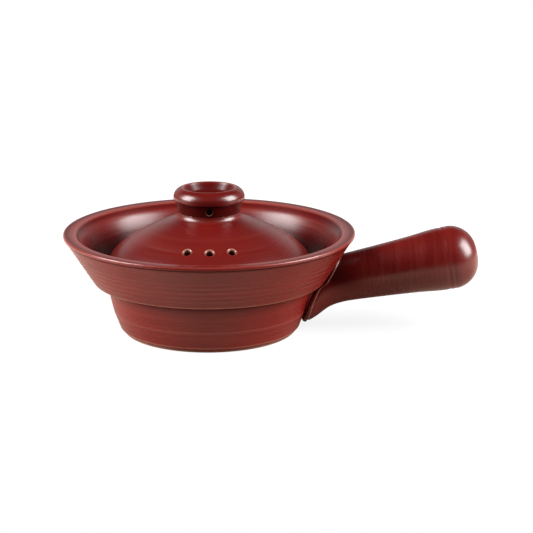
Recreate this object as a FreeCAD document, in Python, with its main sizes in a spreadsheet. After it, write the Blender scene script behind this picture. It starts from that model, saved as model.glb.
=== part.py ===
import FreeCAD, Part
import math
import os
import Sketcher

# A wide shallow medicine pot of glazed earthenware: a flared body with an inner ledge, a hollow side handle luted
# to its wall, a domed lid that drops in and rests on the ledge, and a hollow knob luted to the lid.
# Millimetres and degrees, +Z up, origin at the middle of the flat base, handle along +X, steam holes towards -Y.

SIZES = {
    # Pot body
    "pot_height": 69.4,
    "rim_radius": 100.0,
    "rim_band": 8.0,
    "rim_outer_round": 1.7,
    "rim_inner_round": 1.2,
    "lip_height": 4.0,
    "lip_overhang": 0.9,
    "lip_slope_height": 0.6,
    "step_overhang": 8.3,
    "step_height": 35.9,
    "step_round": 0.9,
    "wall_top_radius": 71.5,
    "wall_bend_radius": 66.6,
    "wall_bend_height": 15.2,
    "foot_radius": 62.4,
    "foot_height": 3.6,
    "base_radius": 59.3,
    "ledge_height": 44.0,
    "flare_wall": 9.2,
    "well_wall": 7.1,
    "foot_wall": 6.4,
    "floor_thickness": 7.5,
    "well_round": 8.0,
    # Lid
    "seat_overlap": 6.1,
    "dome_height": 36.2,
    "dome_tilt": 25.1,
    "boss_height": 2.8,
    "boss_fillet": 3.2,
    "shoulder_round": 10.5,
    "lid_wall": 6.5,
    "skirt_depth": 6.0,
    "skirt_wall": 4.8,
    "skirt_round": 1.2,
    "skirt_clearance": 1.0,
    "crown_flat_radius": 12.0,
    "vent_ring_radius": 51.0,
    "vent_spacing": 17.0,
    "vent_radius": 2.5,
    "vent_rim_radius": 3.3,
    "vent_rim_depth": 0.9,
    # Knob
    "neck_radius": 21.2,
    "neck_height": 9.0,
    "crown_base_radius": 23.9,
    "crown_radius": 24.2,
    "knob_height": 16.8,
    "crown_round": 7.0,
    "crown_base_round": 1.4,
    "dish_radius": 16.6,
    "dish_floor_radius": 11.5,
    "dish_depth": 6.0,
    "dish_edge_round": 0.6,
    "knob_wall": 5.0,
    "knob_vent_radius": 2.3,
    "knob_vent_height": 4.1,
    # Handle
    "handle_tilt": 10.6,
    "handle_drop": 3.5,
    "handle_length": 107.0,
    "grip_radius": 15.5,
    "swell_reach": 62.0,
    "swell_radius": 19.5,
    "bulb_radius": 21.9,
    "tip_radius": 3.6,
    "handle_wall": 5.5,
    "root_reach": 20.5,
    "root_radius": 22.8,
    "root_foot_height": 4.4,
    "root_inset": 7.0,
    "root_sink": 1.2,
    "handle_vent_radius": 1.75,
    "handle_vent_reach": 32.0,
}
VENT_COUNT = 3

# The largest rounding of an edge as a share of its wall, and the largest fillet as a share of the neck it climbs,
# where it meets the slanting dome and so may be taller than the neck
ROUND_LIMIT = 0.4
NECK_FILLET_LIMIT = 1.2

# Each section of the handle's root: how far it is from the wall to the grip, and how much of the climb of its
# centre and of the change of its radius is done there
ROOT_SECTIONS = ((0.0, 0.0, 0.0), (0.2, 0.17, 0.27), (0.5, 0.55, 0.78), (1.0, 1.0, 1.0))

doc = FreeCAD.newDocument("medicine_pot")
sheet = doc.addObject("Spreadsheet::Sheet", "sizes")


class Size:
    """A number together with the sheet expression that gives it."""

    def __init__(self, value, text):
        self.value = value
        self.text = text

    def __add__(self, other):
        other = as_size(other)
        return Size(self.value + other.value, f"({self.text} + {other.text})")

    def __sub__(self, other):
        other = as_size(other)
        return Size(self.value - other.value, f"({self.text} - {other.text})")

    def __mul__(self, other):
        other = as_size(other)
        return Size(self.value * other.value, f"({self.text} * {other.text})")

    def __truediv__(self, other):
        other = as_size(other)
        return Size(self.value / other.value, f"({self.text} / {other.text})")

    def __neg__(self):
        return Size(-self.value, f"(0 - {self.text})")


def as_size(number):
    if isinstance(number, Size):
        return number
    return Size(float(number), repr(float(number)))


def smaller(first, second):
    return Size(min(first.value, second.value), f"min({first.text}; {second.text})")


def sine(angle):
    return Size(math.sin(math.radians(angle.value)), f"sin({angle.text})")


def cosine(angle):
    return Size(math.cos(math.radians(angle.value)), f"cos({angle.text})")


def tangent(angle):
    return Size(math.tan(math.radians(angle.value)), f"tan({angle.text})")


for row, (alias, number) in enumerate(SIZES.items(), start=1):
    sheet.set(f"A{row}", alias.replace("_", " "))
    sheet.set(f"B{row}", str(number))
    sheet.setAlias(f"B{row}", alias)
doc.recompute()

size = {alias: Size(number, f"sizes.{alias}") for alias, number in SIZES.items()}
ZERO = as_size(0)
Z_AXIS = FreeCAD.Vector(0, 0, 1)


def origin_feature(body, role):
    return next(feature for feature in body.Origin.OriginFeatures if feature.Role == role)


def new_body(label):
    body = doc.addObject("PartDesign::Body", label)
    body.Label = label
    return body


def new_sketch(body, name, role):
    sketch = body.newObject("Sketcher::SketchObject", name)
    sketch.AttachmentSupport = [(origin_feature(body, role), "")]
    sketch.MapMode = "FlatFace"
    return sketch


def place_sketch(sketch, axis=Z_AXIS, angle=ZERO, shift=(ZERO, ZERO, ZERO)):
    """Turn and shift a sketch from its plane: the axis and the shift are in the plane's own directions."""
    base = FreeCAD.Vector(*(distance.value for distance in shift))
    sketch.AttachmentOffset = FreeCAD.Placement(base, FreeCAD.Rotation(axis, angle.value))
    for direction, distance in zip("xyz", shift):
        if distance is not ZERO:
            sketch.setExpression(f"AttachmentOffset.Base.{direction}", distance.text)
    if angle is not ZERO:
        sketch.setExpression("AttachmentOffset.Rotation.Angle", angle.text)


def hold_distance(sketch, kind, axis, piece, end, distance):
    """Fix one end of a piece of the sketch at a size from the sketch's origin, or on the axis where that is zero."""
    if distance is ZERO:
        sketch.addConstraint(Sketcher.Constraint("PointOnObject", piece, end, axis))
        return
    index = sketch.addConstraint(Sketcher.Constraint(kind, -1, 1, piece, end, distance.value))
    sketch.setExpression(f"Constraints[{index}]", distance.text)


def hold_point(sketch, piece, end, corner):
    hold_distance(sketch, "DistanceX", -2, piece, end, corner[0])
    hold_distance(sketch, "DistanceY", -1, piece, end, corner[1])


def in_plane(corner):
    return FreeCAD.Vector(corner[0].value, corner[1].value, 0)


def draw_outline(sketch, corners):
    """A closed outline, clockwise where it turns: each corner is held at its own two sizes.

    The run from a corner to the next is straight, or a quarter turn about the centre that the corner gives as well.
    """
    ends = []
    for index, corner in enumerate(corners):
        first = in_plane(corner)
        last = in_plane(corners[(index + 1) % len(corners)])
        if len(corner) == 2:
            sketch.addGeometry(Part.LineSegment(first, last), False)
            ends.append((1, 2))
            continue
        centre = in_plane(corner[2])
        circle = Part.Circle(centre, Z_AXIS, (first - centre).Length)
        sketch.addGeometry(Part.ArcOfCircle(circle, 0, math.pi / 2), False)
        ends.append((2, 1))
    for index, corner in enumerate(corners):
        before = (index - 1) % len(corners)
        first_end = ends[index][0]
        sketch.addConstraint(Sketcher.Constraint("Coincident", before, ends[before][1], index, first_end))
        hold_point(sketch, index, first_end, corner)
        if len(corner) == 3:
            hold_distance(sketch, "DistanceX", -2, index, 3, corner[2][0])


def draw_circle(sketch, centre, radius):
    piece = sketch.addGeometry(Part.Circle(in_plane(centre), Z_AXIS, radius.value), False)
    hold_point(sketch, piece, 3, centre)
    index = sketch.addConstraint(Sketcher.Constraint("Radius", piece, radius.value))
    sketch.setExpression(f"Constraints[{index}]", radius.text)


def turn(body, kind, name, sketch, axis_name):
    """A full turn of a sketch about one of its axes, adding (Revolution) or cutting (Groove)."""
    feature = body.newObject(f"PartDesign::{kind}", name)
    feature.Profile = sketch
    feature.ReferenceAxis = (sketch, [axis_name])
    feature.Angle = 360
    feature.Refine = False
    doc.recompute()
    return feature


def bore(body, name, sketch, depth):
    """A pocket along the sketch's own normal, checked to remove material."""
    before = body.Shape.Volume
    pocket = body.newObject("PartDesign::Pocket", name)
    pocket.Profile = sketch
    pocket.Type = "Length"
    pocket.setExpression("Length", depth.text)
    pocket.Reversed = True
    doc.recompute()
    removed = before - body.Shape.Volume
    print(f"{name} removes {removed:.1f} mm3")
    if removed <= 0:
        raise RuntimeError(f"{name} cuts nothing")
    return pocket


def ring_about_z(corner):
    return corner[0].value, FreeCAD.Vector(0, 0, corner[1].value)


def round_edges(body, name, radius, *rings):
    """A fillet on the circular edges that have these radii and centres."""
    base = body.Tip
    names = []
    for index, edge in enumerate(base.Shape.Edges, start=1):
        if not isinstance(edge.Curve, Part.Circle):
            continue
        for ring_radius, centre in rings:
            same_radius = abs(edge.Curve.Radius - ring_radius) < 0.01
            if same_radius and edge.Curve.Center.distanceToPoint(centre) < 0.01:
                names.append(f"Edge{index}")
    if len(names) != len(rings):
        raise RuntimeError(f"{name}: {len(names)} edges found for {len(rings)} rings")
    fillet = body.newObject("PartDesign::Fillet", name)
    fillet.Base = (base, names)
    fillet.setExpression("Radius", radius.text)
    doc.recompute()
    return fillet


# Sizes that more than one piece reads
ledge_z = size["ledge_height"]
neck_radius = size["neck_radius"]
dome_top_z = ledge_z + size["dome_height"]
seat_z = dome_top_z + size["boss_height"]
step_radius = size["wall_top_radius"] + size["step_overhang"]
flare_top_radius = size["rim_radius"] - size["lip_overhang"]
lip_foot_z = size["pot_height"] - size["lip_height"]
flare_top_z = lip_foot_z - size["lip_slope_height"]
mouth_radius = size["wall_top_radius"] - size["well_wall"]
well_radius = size["foot_radius"] - size["foot_wall"]

# The outside of the pot from the base to the rim, which the handle's root is cut to fit
step_corner = (step_radius, size["step_height"])
rim_corner = (size["rim_radius"], size["pot_height"])
OUTSIDE = [
    (size["base_radius"], ZERO),
    (size["foot_radius"], size["foot_height"]),
    (size["wall_bend_radius"], size["wall_bend_height"]),
    (size["wall_top_radius"], size["step_height"]),
    step_corner,
    (flare_top_radius, flare_top_z),
    (size["rim_radius"], lip_foot_z),
    rim_corner,
]


def make_pot_body():
    body = new_body("pot_body")
    sketch = new_sketch(body, "pot_profile", "XZ_Plane")
    rim_inner = (size["rim_radius"] - size["rim_band"], size["pot_height"])
    well_corner = (well_radius, size["floor_thickness"])
    flare_lean = (flare_top_radius - step_radius) / (flare_top_z - size["step_height"])
    ledge_radius = step_radius + (ledge_z - size["step_height"]) * flare_lean - size["flare_wall"]
    inside = [
        rim_inner,
        (ledge_radius, ledge_z),
        (mouth_radius, ledge_z),
        well_corner,
        (ZERO, size["floor_thickness"]),
    ]
    draw_outline(sketch, [(ZERO, ZERO)] + OUTSIDE + inside)
    turn(body, "Revolution", "pot_turned", sketch, "V_Axis")
    round_edges(body, "rim_outer_edge", size["rim_outer_round"], ring_about_z(rim_corner))
    round_edges(body, "rim_inner_edge", size["rim_inner_round"], ring_about_z(rim_inner))
    step_round = smaller(size["step_round"], size["step_overhang"] * ROUND_LIMIT)
    round_edges(body, "step_edge", step_round, ring_about_z(step_corner))
    round_edges(body, "well_edge", size["well_round"], ring_about_z(well_corner))
    return body


def make_lid():
    body = new_body("lid")
    sketch = new_sketch(body, "lid_profile", "XZ_Plane")
    dome_fall = tangent(size["dome_tilt"])
    edge_radius = mouth_radius + size["seat_overlap"]
    edge_top_z = dome_top_z - (edge_radius - neck_radius) * dome_fall
    well_lean = (mouth_radius - well_radius) / (ledge_z - size["floor_thickness"])
    skirt_top_radius = mouth_radius - size["skirt_clearance"]
    skirt_foot_radius = skirt_top_radius - size["skirt_depth"] * well_lean
    skirt_inner_radius = skirt_foot_radius - size["skirt_wall"]
    skirt_foot_z = ledge_z - size["skirt_depth"]
    # The dome's underside runs parallel to its top
    under_drop = size["lid_wall"] / cosine(size["dome_tilt"])
    under_edge_z = dome_top_z - (skirt_inner_radius - neck_radius) * dome_fall - under_drop
    under_top_z = dome_top_z + (neck_radius - size["crown_flat_radius"]) * dome_fall - under_drop
    neck_foot = (neck_radius, dome_top_z)
    shoulder = (edge_radius, edge_top_z)
    skirt_foot = (skirt_foot_radius, skirt_foot_z)
    skirt_inner_foot = (skirt_inner_radius, skirt_foot_z)
    draw_outline(sketch, [
        (ZERO, seat_z),
        (neck_radius, seat_z),
        neck_foot,
        shoulder,
        (edge_radius, ledge_z),
        (skirt_top_radius, ledge_z),
        skirt_foot,
        skirt_inner_foot,
        (skirt_inner_radius, under_edge_z),
        (size["crown_flat_radius"], under_top_z),
        (ZERO, under_top_z),
    ])
    turn(body, "Revolution", "lid_turned", sketch, "V_Axis")
    shoulder_round = smaller(size["shoulder_round"], edge_top_z - ledge_z)
    round_edges(body, "shoulder_edge", shoulder_round, ring_about_z(shoulder))
    neck_fillet = smaller(size["boss_fillet"], size["boss_height"] * NECK_FILLET_LIMIT)
    round_edges(body, "neck_fillet", neck_fillet, ring_about_z(neck_foot))
    skirt_round = smaller(size["skirt_round"], size["skirt_wall"] * ROUND_LIMIT)
    round_edges(body, "skirt_edges", skirt_round, ring_about_z(skirt_foot), ring_about_z(skirt_inner_foot))

    # The first of three steam holes, square to the dome, with a chamfered rim, drawn lying along the sketch
    vent = new_sketch(body, "vent_profile", "YZ_Plane")
    place_sketch(vent, FreeCAD.Vector(0, 1, 0), size["vent_spacing"] * (-0.5 * (VENT_COUNT - 1)))
    vent_z = dome_top_z - (size["vent_ring_radius"] - neck_radius) * dome_fall
    out_of_dome = (-sine(size["dome_tilt"]), cosine(size["dome_tilt"]))
    along_dome = (cosine(size["dome_tilt"]), sine(size["dome_tilt"]))

    def vent_point(across, up):
        """A point of the hole's section, from the hole's centre on the dome's surface."""
        outward = along_dome[0] * across + out_of_dome[0] * up - size["vent_ring_radius"]
        height = along_dome[1] * across + out_of_dome[1] * up + vent_z
        return outward, height

    hole_foot = -(size["lid_wall"] + size["vent_rim_radius"])
    hole_head = size["vent_rim_radius"]
    draw_outline(vent, [
        vent_point(ZERO, hole_foot),
        vent_point(size["vent_radius"], hole_foot),
        vent_point(size["vent_radius"], -size["vent_rim_depth"]),
        vent_point(size["vent_rim_radius"], ZERO),
        vent_point(size["vent_rim_radius"], hole_head),
        vent_point(ZERO, hole_head),
    ])
    # The hole's own centre line is the outline's closing side
    before = body.Shape.Volume
    groove = turn(body, "Groove", "vent", vent, "Edge6")
    pattern = body.newObject("PartDesign::PolarPattern", "vents")
    pattern.Originals = [groove]
    pattern.Axis = (origin_feature(body, "Z_Axis"), [""])
    pattern.Occurrences = VENT_COUNT
    pattern.setExpression("Angle", (size["vent_spacing"] * (VENT_COUNT - 1)).text)
    body.Tip = pattern
    doc.recompute()
    print(f"lid vents remove {before - body.Shape.Volume:.1f} mm3 in {VENT_COUNT} holes")
    return body


def make_knob():
    body = new_body("knob")
    sketch = new_sketch(body, "knob_profile", "XZ_Plane")
    crown_base_z = seat_z + size["neck_height"]
    top_z = seat_z + size["knob_height"]
    dish_z = top_z - size["dish_depth"]
    bore_radius = neck_radius - size["knob_wall"]
    roof_z = dish_z - size["knob_wall"]
    crown_base = (size["crown_base_radius"], crown_base_z)
    crown_corner = (size["crown_radius"], top_z)
    dish_edge = (size["dish_radius"], top_z)
    draw_outline(sketch, [
        (bore_radius, seat_z),
        (neck_radius, seat_z),
        crown_base,
        crown_corner,
        dish_edge,
        (size["dish_floor_radius"], dish_z),
        (ZERO, dish_z),
        (ZERO, roof_z),
        (bore_radius, roof_z),
    ])
    turn(body, "Revolution", "knob_turned", sketch, "V_Axis")
    crown_round = smaller(size["crown_round"], size["crown_radius"] - size["dish_radius"] - size["dish_edge_round"])
    round_edges(body, "crown_edge", crown_round, ring_about_z(crown_corner))
    round_edges(body, "crown_base_edge", size["crown_base_round"], ring_about_z(crown_base))
    round_edges(body, "dish_edge", size["dish_edge_round"], ring_about_z(dish_edge))

    # One breathing hole through the neck, on the side of the lid's steam holes
    vent = new_sketch(body, "knob_vent_profile", "XZ_Plane")
    draw_circle(vent, (ZERO, seat_z + size["knob_vent_height"]), size["knob_vent_radius"])
    bore(body, "knob_vent", vent, size["crown_radius"])
    return body


def make_handle():
    body = new_body("handle")
    tilt = size["handle_tilt"]
    start = (step_radius, size["step_height"] - size["handle_drop"], ZERO)
    length = size["handle_length"]
    inset = step_radius - size["wall_bend_radius"] + size["root_inset"]
    wall = size["handle_wall"]

    # The thrown tube: a section along its own slanting centre line, with a rounded closed end
    outer = new_sketch(body, "grip_profile", "XZ_Plane")
    place_sketch(outer, Z_AXIS, tilt, start)
    bulb_reach = length - size["bulb_radius"] + size["tip_radius"]
    end_centre = (bulb_reach, size["tip_radius"])
    draw_outline(outer, [
        (-inset, ZERO),
        (-inset, size["grip_radius"]),
        (ZERO, size["grip_radius"]),
        (size["swell_reach"], size["swell_radius"]),
        (bulb_reach, size["bulb_radius"], end_centre),
        (length, size["tip_radius"]),
        (length, ZERO),
    ])
    turn(body, "Revolution", "grip_turned", outer, "H_Axis")

    # The root widens and drops towards the foot of the pot
    root_x = size["wall_bend_radius"]
    grip_x = step_radius + size["root_reach"]
    grip_z = start[1] + size["root_reach"] * tangent(tilt)
    swell_rate = (size["swell_radius"] - size["grip_radius"]) / size["swell_reach"]
    root_end_radius = size["grip_radius"] + size["root_reach"] * swell_rate - size["root_sink"]
    root_z = size["root_foot_height"] + size["root_radius"]
    sections = []
    inner_section = new_sketch(body, "root_section_inner", "YZ_Plane")
    place_sketch(inner_section, shift=(ZERO, ZERO, root_x - size["root_inset"]))
    draw_circle(inner_section, (ZERO, root_z), size["root_radius"])
    sections.append(inner_section)
    for number, (along, climb, change) in enumerate(ROOT_SECTIONS):
        section = new_sketch(body, f"root_section_{number}", "YZ_Plane")
        place_sketch(section, shift=(ZERO, ZERO, root_x + (grip_x - root_x) * along))
        centre_z = root_z + (grip_z - root_z) * climb
        radius = size["root_radius"] + (root_end_radius - size["root_radius"]) * change
        draw_circle(section, (ZERO, centre_z), radius)
        sections.append(section)
    root = body.newObject("PartDesign::AdditiveLoft", "root")
    root.Profile = sections[0]
    root.Sections = sections[1:]
    root.Refine = False
    doc.recompute()

    # The hollow inside, which the pot's wall closes
    hollow = new_sketch(body, "hollow_profile", "XZ_Plane")
    place_sketch(hollow, Z_AXIS, tilt, start)
    draw_outline(hollow, [
        (-inset, ZERO),
        (-inset, size["grip_radius"] - wall),
        (ZERO, size["grip_radius"] - wall),
        (size["swell_reach"], size["swell_radius"] - wall),
        (bulb_reach, size["bulb_radius"] - wall, end_centre),
        (length - wall, size["tip_radius"]),
        (length - wall, ZERO),
    ])
    turn(body, "Groove", "hollow", hollow, "H_Axis")

    # The root is cut to the outside of the pot, so the two meet face to face
    seat = new_sketch(body, "seat_profile", "XZ_Plane")
    draw_outline(seat, [(ZERO, ZERO)] + OUTSIDE + [(ZERO, size["pot_height"])])
    turn(body, "Groove", "seat", seat, "V_Axis")

    # A small firing vent through the underside lets the closed hollow breathe
    vent = new_sketch(body, "handle_vent_profile", "XY_Plane")
    draw_circle(vent, (step_radius + size["handle_vent_reach"], ZERO), size["handle_vent_radius"])
    bore(body, "handle_vent", vent, start[1] + size["handle_vent_reach"] * tangent(tilt))
    return body


pieces = [make_pot_body(), make_handle(), make_lid(), make_knob()]
doc.recompute()

faults = []
for item in doc.Objects:
    if "Invalid" in item.State or "Error" in item.State:
        faults.append(f"{item.Name}: {item.State}")
for piece in pieces:
    shape = piece.Shape
    if shape.isNull() or not shape.isValid() or len(shape.Solids) != 1:
        faults.append(f"{piece.Label}: shape null, not valid or not one solid")
if faults:
    raise RuntimeError("; ".join(faults))

os.makedirs("parts", exist_ok=True)
for piece in pieces:
    box = piece.Shape.BoundBox
    piece.Shape.exportStep(f"parts/{piece.Label}.step")
    print(f"{piece.Label}: {piece.Shape.Volume:.0f} mm3, {len(piece.Shape.Faces)} faces, "
          f"{box.XMin:.1f}..{box.XMax:.1f} {box.YMin:.1f}..{box.YMax:.1f} {box.ZMin:.1f}..{box.ZMax:.1f}")
for index, first in enumerate(pieces):
    for second in pieces[index + 1:]:
        shared = first.Shape.common(second.Shape).Volume
        apart = first.Shape.distToShape(second.Shape)[0]
        print(f"{first.Label} and {second.Label}: shared {shared:.4f} mm3, apart {apart:.3f} mm")
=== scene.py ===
import math

import bmesh
import bpy
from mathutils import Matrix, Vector


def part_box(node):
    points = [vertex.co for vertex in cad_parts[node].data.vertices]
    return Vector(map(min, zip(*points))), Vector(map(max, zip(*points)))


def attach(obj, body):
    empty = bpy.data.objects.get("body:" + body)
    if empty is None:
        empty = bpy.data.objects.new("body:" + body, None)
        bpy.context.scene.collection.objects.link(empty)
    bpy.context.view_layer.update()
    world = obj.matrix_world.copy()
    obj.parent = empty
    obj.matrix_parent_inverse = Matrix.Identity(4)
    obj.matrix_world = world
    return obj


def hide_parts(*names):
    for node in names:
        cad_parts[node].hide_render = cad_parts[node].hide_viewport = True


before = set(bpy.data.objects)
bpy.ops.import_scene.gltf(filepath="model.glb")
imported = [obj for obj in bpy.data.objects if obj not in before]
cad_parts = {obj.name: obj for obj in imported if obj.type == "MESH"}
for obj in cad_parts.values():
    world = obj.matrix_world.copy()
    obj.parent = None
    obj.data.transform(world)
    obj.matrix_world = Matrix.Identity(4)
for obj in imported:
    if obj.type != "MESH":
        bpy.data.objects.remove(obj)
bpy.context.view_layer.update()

# A shallow medicine pot of wine-red glazed clay. Metres, the handle along +X, the steam holes towards -Y.
MM = 0.001
FULL_TURN = 2 * math.pi


def low_corner(node):
    """The lowest corner of a node's box in the frame."""
    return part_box(node)[0]


def high_corner(node):
    """The highest corner of a node's box in the frame."""
    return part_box(node)[1]


# Sizes read from the frame
RIM_RADIUS = high_corner("pot_body").x
POT_HEIGHT = high_corner("pot_body").z
LID_TOP = high_corner("lid").z
SKIRT_FOOT = low_corner("lid").z
KNOB_TOP = high_corner("knob").z

# The pot's outside, from its base up to its rim, with the rounding of each edge
BASE_RADIUS, BASE_ROUND = 59.3 * MM, 0.6 * MM
FOOT_RADIUS, FOOT_HEIGHT, FOOT_ROUND = 62.4 * MM, 3.6 * MM, 1.2 * MM
BEND_RADIUS, BEND_HEIGHT, BEND_ROUND = 66.6 * MM, 15.2 * MM, 14.0 * MM
WALL_TOP_RADIUS, STEP_HEIGHT = 71.5 * MM, 35.9 * MM
STEP_OVERHANG = 8.3 * MM
STEP_RADIUS = WALL_TOP_RADIUS + STEP_OVERHANG
STEP_CORNER_ROUND, STEP_EDGE_ROUND = 1.2 * MM, 1.7 * MM
LIP_HEIGHT, LIP_DEPTH, LIP_SLOPE = 2.3 * MM, 0.9 * MM, 0.6 * MM
LIP_ROUND = 0.5 * MM
LIP_FOOT = POT_HEIGHT - LIP_HEIGHT
FLARE_TOP_RADIUS = RIM_RADIUS - LIP_DEPTH
RIM_OUTER_ROUND, RIM_INNER_ROUND = 1.1 * MM, 2.2 * MM
RIM_BAND, RIM_DROP = 8.0 * MM, 0.4 * MM

# The pot's inside, from its rim down to its floor
RIM_INNER_RADIUS = RIM_RADIUS - RIM_BAND
COVE_WIDTH, COVE_DEPTH, COVE_ROUND = 5.2 * MM, 5.6 * MM, 16.0 * MM
LEDGE_RADIUS, LEDGE_HEIGHT, LEDGE_ROUND = 76.0 * MM, 44.0 * MM, 2.0 * MM
MOUTH_RADIUS, MOUTH_ROUND = 64.4 * MM, 0.8 * MM
WELL_RADIUS, FLOOR_HEIGHT, FLOOR_ROUND = 56.0 * MM, 7.5 * MM, 8.0 * MM

# The lid
LID_RADIUS = 70.5 * MM
LID_WALL = 6.5 * MM
LID_EDGE_ROUND = 0.6 * MM
SKIRT_CLEARANCE, SKIRT_WALL = 2.4 * MM, 4.8 * MM
SKIRT_ROUND, SKIRT_TOP_ROUND = 1.2 * MM, 3.0 * MM
SEAT_CLEARANCE, SEAT_ROUND = 1.0 * MM, 0.4 * MM
UNDER_FLAT_RADIUS, UNDER_FLAT_ROUND = 14.0 * MM, 8.0 * MM
UNDER_BEND_RADIUS, UNDER_BEND_ROUND = 38.0 * MM, 60.0 * MM
# How many times the wall's thickness lies under the dome at its flat, at its bend and at the skirt
FLAT_WALL, BEND_WALL, SKIRT_TOP_WALL = 1.05, 1.1, 1.15
SHOULDER_START = 67.0 * MM
# The dome's height over the base at each radius, in mm
DOME_PROFILE = (
    (10.0, 83.9), (21.2, 80.1), (30.0, 76.4), (38.0, 73.1), (46.0, 69.1), (54.0, 64.5),
    (60.0, 60.4), (65.0, 56.1), (68.0, 52.6), (69.6, 49.9), (70.3, 48.2), (70.5, 46.8),
)

# The knob and its neck
NECK_RADIUS, NECK_FILLET = 21.2 * MM, 4.3 * MM
NECK_LEAN, NECK_HEIGHT, NECK_ROUND = 1.6 * MM, 8.1 * MM, 0.4 * MM
CROWN_CENTRE = Vector((17.5 * MM, KNOB_TOP - 7.0 * MM))
CROWN_WIDE, CROWN_TALL = 6.9 * MM, 7.0 * MM
CROWN_FOOT_OUT, CROWN_FOOT_UP = 0.7 * MM, 0.3 * MM
CROWN_FIRST, CROWN_LAST, CROWN_STEPS = -14, 76, 40
CROWN_TOP_OUT, CROWN_TOP_DROP, DISH_EDGE_DROP = 0.9 * MM, 0.14 * MM, 0.02 * MM
DISH_RADIUS, DISH_DEPTH = 17.8 * MM, 6.0 * MM
DISH_SIDE, DISH_EDGE_ROUND, DISH_FLOOR_ROUND = 4.6 * MM, 0.7 * MM, 4.0 * MM

# The steam holes in the lid, and the hole in the knob's neck
VENT_RING = 51.0 * MM
VENT_ANGLES = [math.radians(angle) for angle in (-107.0, -90.0, -73.0)]
VENT_RADIUS, VENT_RIM = 2.5 * MM, 3.3 * MM
KNOB_VENT_RADIUS, KNOB_VENT_RIM = 2.3 * MM, 2.45 * MM
KNOB_VENT_HEIGHT, KNOB_VENT_DEPTH = 4.1 * MM, 5.0 * MM
# A hole's rounded rim: where it starts, in rim radii, how deep it goes, in its own widths, how thin and bare
# its pale side is, and where the faces that run up to it are cut
VENT_LAND, VENT_SINK = 1.12, 1.3
VENT_WEAR, VENT_BARE = 0.6, 0.38
VENT_RUN = (0.66, 0.33, 0.0)

# The handle's axis, which starts just under the step's edge and rises outwards
TILT = math.radians(10.6)
GRIP_START = Vector((STEP_RADIUS, 0, STEP_HEIGHT - 3.5 * MM))
GRIP_AXIS = Vector((math.cos(TILT), 0, math.sin(TILT)))
GRIP_UP = Vector((-math.sin(TILT), 0, math.cos(TILT)))

# The handle in mm, by the distance along its axis: the tube's radius, and how deep and wide its root is
BULB_REACH = 88.7
TIP_ROUND, TIP_FLAT = 18.3, 3.6
GRIP_RADII = (
    (-30.0, 15.5), (0.0, 15.5), (20.0, 16.7), (40.0, 18.0), (62.0, 19.7), (78.0, 21.4), (BULB_REACH, 21.9),
)
ROOT_DEPTHS = ((-30.0, 27.5), (-18.0, 25.1), (-11.0, 22.9), (0.0, 17.9), (10.0, 16.5), (22.0, 16.8))
ROOT_WIDTHS = ((-30.0, 25.5), (-18.0, 24.0), (-11.0, 21.6), (0.0, 17.9), (10.0, 16.4), (22.0, 16.8))
ROOT_REACH = 22.0
ROOT_LOW_SHARE = 0.35

# The luting clay where the handle meets the pot: reaches in mm along the handle, sizes in metres
LUTING_START, LUTING_LIMIT, LUTING_STRIDE = 28.0, -24.0, 0.5
LUTING_HALVINGS = 18
LUTING_ROUND = 2.0 * MM
LUTING_BEAD = 0.75 * MM
BEAD_REACH, BEAD_WIDTH = 0.9, 0.8
LUTING_SINK = 0.02 * MM
# The clay that fills the corner under the step: the share that it loses over a height, how softly it meets
# the wall, and how many times its own depth its foot spreads sideways
FILL_LOSS, FILL_HEIGHT = 0.35, 6.0 * MM
STEP_SOFTNESS, STEP_SOFT_SHARE = 2.0 * MM, 0.1
FOOT_SPREAD, FOOT_SPREAD_MOST = 1.5, 9.0 * MM
FOOT_SINK, FOOT_END = 0.3 * MM, 0.8 * MM
SPREAD_ANGLE_LEAST = 0.02

# The firing vent under the handle, by its distance along the handle in mm
FIRING_VENT_REACH = 32.0
FIRING_VENT_RADIUS, FIRING_VENT_RIM, FIRING_VENT_DEPTH = 1.75 * MM, 2.1 * MM, 4.0 * MM

# How finely the meshes are made
POT_SEGMENTS, LID_SEGMENTS, KNOB_SEGMENTS, HANDLE_SEGMENTS = 240, 240, 180, 160
RINGED_SPACING, RIM_SPACING, PLAIN_SPACING = 0.4 * MM, 1.2 * MM, 2.5 * MM
LID_SPACING, KNOB_SPACING = 1.0 * MM, 0.6 * MM
DOME_STRIDE, SHOULDER_STRIDE = 0.6 * MM, 0.2 * MM
VENT_ROWS, VENT_COLUMNS, VENT_STEPS = 6, 4, 6
KNOB_VENT_ROWS, KNOB_VENT_COLUMNS = 5, 4
FIRING_VENT_ROWS, FIRING_VENT_COLUMNS = 8, 5
LUTING_STEPS, LUTING_ROWS, FOOT_STEPS = 8, 70, 6
GRIP_STRIDE, TIP_STEPS = 0.45, 26
TINY, ON_AXIS = 1e-7, 1e-6
# The numbers that each vertex carries: thin glaze on an edge, which also paints highlight lines, bare clay,
# and painted shade
LAYERS = ("wear_and_highlight", "bare", "shade")

# How dark the painted shade is, from 0 to 1
UNDER_LIP_SHADE = 0.85
UNDER_RIM_SHADE = 0.6
RIM_SHADE = 0.62
BOWL_SHADE, BOWL_FOOT_SHADE = 0.15, 0.9
UNDER_STEP_SHADE = 0.95
DISH_SHADE = 0.45
NECK_SHADE = 0.62
ROOT_SHADE = 1.0

# How much of the glaze wears off the edges, which also paints pale highlight lines on the rim's inner edge,
# the step, the foot and the dish's edge, and the rounding up to which an edge wears in full
RIM_WEAR_AND_HIGHLIGHT, LOW_EDGE_WEAR_AND_HIGHLIGHT, HIGH_EDGE_WEAR, DISH_WEAR_AND_HIGHLIGHT = 0.6, 1.9, 0.15, 0.5
WORN_ROUND = 0.9 * MM
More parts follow.
